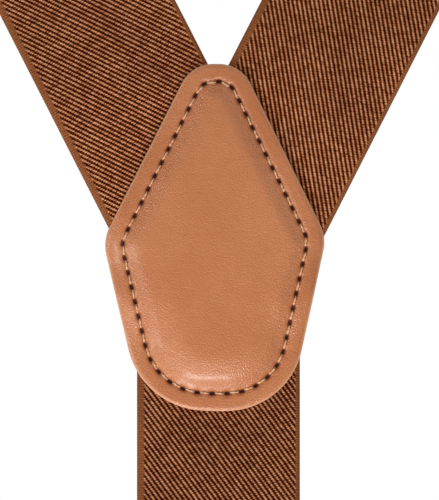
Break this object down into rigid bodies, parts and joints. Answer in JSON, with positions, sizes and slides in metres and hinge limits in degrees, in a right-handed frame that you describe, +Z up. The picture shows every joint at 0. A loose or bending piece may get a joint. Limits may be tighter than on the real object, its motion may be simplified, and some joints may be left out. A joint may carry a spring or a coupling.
{
  "type": "suspenders",
  "caption": "Y-back suspenders of brown elastic twill webbing with a stitched tan leather yoke, lever-lock length adjusters and lever clips, in the shape they take when worn.",
  "frame": {"origin": "midway between the undersides of the two straps at the top of the shoulders", "axes": "+Z up, +Y the way the wearer faces, +X towards the wearer's right"},
  "size_m": [0.2398, 0.207, 0.4823],
  "materials": {
    "webbing": "brown elastic twill webbing with raised diagonal ribs and plain woven edges",
    "leather": "tan grained leather, satin",
    "thread": "waxed sewing thread",
    "steel": "nickel-plated sheet steel, satin polish",
    "spring_steel": "blued spring steel",
    "grip": "moulded nylon, matt"
  },
  "bodies": {
    "root": {"yoke_patch": "leather", "yoke_lining": "leather", "yoke_stitching": "thread", "left_shoulder_strap": "webbing", "left_chest_strap": "webbing", "right_shoulder_strap": "webbing", "right_chest_strap": "webbing", "back_strap": "webbing", "back_stretch_strap": "webbing"},
    "left_front": {"left_front_strap": "webbing"},
    "left_loop": {"left_strap_loop": "webbing"},
    "left_adjuster": {"left_strap_return": "webbing", "left_return_stitching": "thread", "left_adjuster_frame": "steel", "left_adjuster_pin": "steel"},
    "left_cam": {"left_adjuster_lever": "steel"},
    "left_ring": {"left_ring": "steel"},
    "left_clip": {"left_clip_plate": "steel", "left_jaw_pin": "steel", "left_lever_pin": "steel", "left_plate_grip": "grip", "left_clip_spring": "spring_steel"},
    "left_jaw": {"left_clip_jaw": "steel", "left_jaw_grip": "grip"},
    "left_lever": {"left_clip_lever": "steel"},
    "right_front": {"right_front_strap": "webbing"},
    "right_loop": {"right_strap_loop": "webbing"},
    "right_adjuster": {"right_strap_return": "webbing", "right_return_stitching": "thread", "right_adjuster_frame": "steel", "right_adjuster_pin": "steel"},
    "right_cam": {"right_adjuster_lever": "steel"},
    "right_ring": {"right_ring": "steel"},
    "right_clip": {"right_clip_plate": "steel", "right_jaw_pin": "steel", "right_lever_pin": "steel", "right_plate_grip": "grip", "right_clip_spring": "spring_steel"},
    "right_jaw": {"right_clip_jaw": "steel", "right_jaw_grip": "grip"},
    "right_lever": {"right_clip_lever": "steel"},
    "back_end": {"back_strap_end": "webbing", "back_end_stitching": "thread"},
    "back_ring": {"back_ring": "steel"},
    "back_clip": {"back_clip_plate": "steel", "back_jaw_pin": "steel", "back_lever_pin": "steel", "back_plate_grip": "grip", "back_clip_spring": "spring_steel"},
    "back_jaw": {"back_clip_jaw": "steel", "back_jaw_grip": "grip"},
    "back_lever": {"back_clip_lever": "steel"}
  },
  "joints": [
    {"name": "left_front_stretch", "type": "slide", "parent": "root", "child": "left_front", "axis": [0, 0, -1], "range_m": [0, 0.05], "stiffness_N_per_m": 120, "springref_m": -0.01, "deforming": ["left_chest_strap"]},
    {"name": "left_loop_lift", "type": "slide", "parent": "left_front", "child": "left_loop", "axis": [0, 0, 1], "range_m": [-0.02, 0.03], "deforming": ["left_strap_loop"]},
    {"name": "left_adjuster_slide", "type": "slide", "parent": "left_loop", "child": "left_adjuster", "axis": [0, 0, 1], "range_m": [-0.02, 0.03], "deforming": ["left_strap_return"]},
    {"name": "left_adjuster_release", "type": "hinge", "parent": "left_adjuster", "child": "left_cam", "pos_m": [-0.09689, 0.0984, -0.294], "axis": [1, 0, 0], "range_deg": [0, 75]},
    {"name": "left_ring_swing", "type": "hinge", "parent": "left_loop", "child": "left_ring", "pos_m": [-0.09689, 0.0922, -0.42], "axis": [1, 0, 0], "range_deg": [-40, 40]},
    {"name": "left_clip_swing", "type": "hinge", "parent": "left_ring", "child": "left_clip", "pos_m": [-0.09689, 0.0922, -0.432], "axis": [1, 0, 0], "range_deg": [-40, 40]},
    {"name": "left_lever_open", "type": "hinge", "parent": "left_clip", "child": "left_lever", "pos_m": [-0.09689, 0.0992, -0.446], "axis": [1, 0, 0], "range_deg": [0, 110]},
    {"name": "left_jaw_open", "type": "hinge", "parent": "left_clip", "child": "left_jaw", "pos_m": [-0.09689, 0.0934, -0.439], "axis": [1, 0, 0], "range_deg": [0, 10]},
    {"name": "right_front_stretch", "type": "slide", "parent": "root", "child": "right_front", "axis": [0, 0, -1], "range_m": [0, 0.05], "stiffness_N_per_m": 120, "springref_m": -0.01, "deforming": ["right_chest_strap"]},
    {"name": "right_loop_lift", "type": "slide", "parent": "right_front", "child": "right_loop", "axis": [0, 0, 1], "range_m": [-0.02, 0.03], "deforming": ["right_strap_loop"]},
    {"name": "right_adjuster_slide", "type": "slide", "parent": "right_loop", "child": "right_adjuster", "axis": [0, 0, 1], "range_m": [-0.02, 0.03], "deforming": ["right_strap_return"]},
    {"name": "right_adjuster_release", "type": "hinge", "parent": "right_adjuster", "child": "right_cam", "pos_m": [0.09689, 0.0984, -0.294], "axis": [1, 0, 0], "range_deg": [0, 75]},
    {"name": "right_ring_swing", "type": "hinge", "parent": "right_loop", "child": "right_ring", "pos_m": [0.09689, 0.0922, -0.42], "axis": [1, 0, 0], "range_deg": [-40, 40]},
    {"name": "right_clip_swing", "type": "hinge", "parent": "right_ring", "child": "right_clip", "pos_m": [0.09689, 0.0922, -0.432], "axis": [1, 0, 0], "range_deg": [-40, 40]},
    {"name": "right_lever_open", "type": "hinge", "parent": "right_clip", "child": "right_lever", "pos_m": [0.09689, 0.0992, -0.446], "axis": [1, 0, 0], "range_deg": [0, 110]},
    {"name": "right_jaw_open", "type": "hinge", "parent": "right_clip", "child": "right_jaw", "pos_m": [0.09689, 0.0934, -0.439], "axis": [1, 0, 0], "range_deg": [0, 10]},
    {"name": "back_stretch", "type": "slide", "parent": "root", "child": "back_end", "axis": [0, 0, -1], "range_m": [0, 0.05], "stiffness_N_per_m": 120, "springref_m": -0.01, "deforming": ["back_stretch_strap"]},
    {"name": "back_ring_swing", "type": "hinge", "parent": "back_end", "child": "back_ring", "pos_m": [0, -0.0904, -0.42], "axis": [-1, 0, 0], "range_deg": [-40, 40]},
    {"name": "back_clip_swing", "type": "hinge", "parent": "back_ring", "child": "back_clip", "pos_m": [0, -0.0904, -0.432], "axis": [-1, 0, 0], "range_deg": [-40, 40]},
    {"name": "back_lever_open", "type": "hinge", "parent": "back_clip", "child": "back_lever", "pos_m": [0, -0.0974, -0.446], "axis": [-1, 0, 0], "range_deg": [0, 110]},
    {"name": "back_jaw_open", "type": "hinge", "parent": "back_clip", "child": "back_jaw", "pos_m": [0, -0.0916, -0.439], "axis": [-1, 0, 0], "range_deg": [0, 10]}
  ],
  "couplings": [
    {"joint": "left_loop_lift", "follows": "left_adjuster_slide", "ratio": 1},
    {"joint": "left_jaw_open", "follows": "left_lever_open", "ratio": 0.090909},
    {"joint": "right_loop_lift", "follows": "right_adjuster_slide", "ratio": 1},
    {"joint": "right_jaw_open", "follows": "right_lever_open", "ratio": 0.090909},
    {"joint": "back_jaw_open", "follows": "back_lever_open", "ratio": 0.090909}
  ]
}
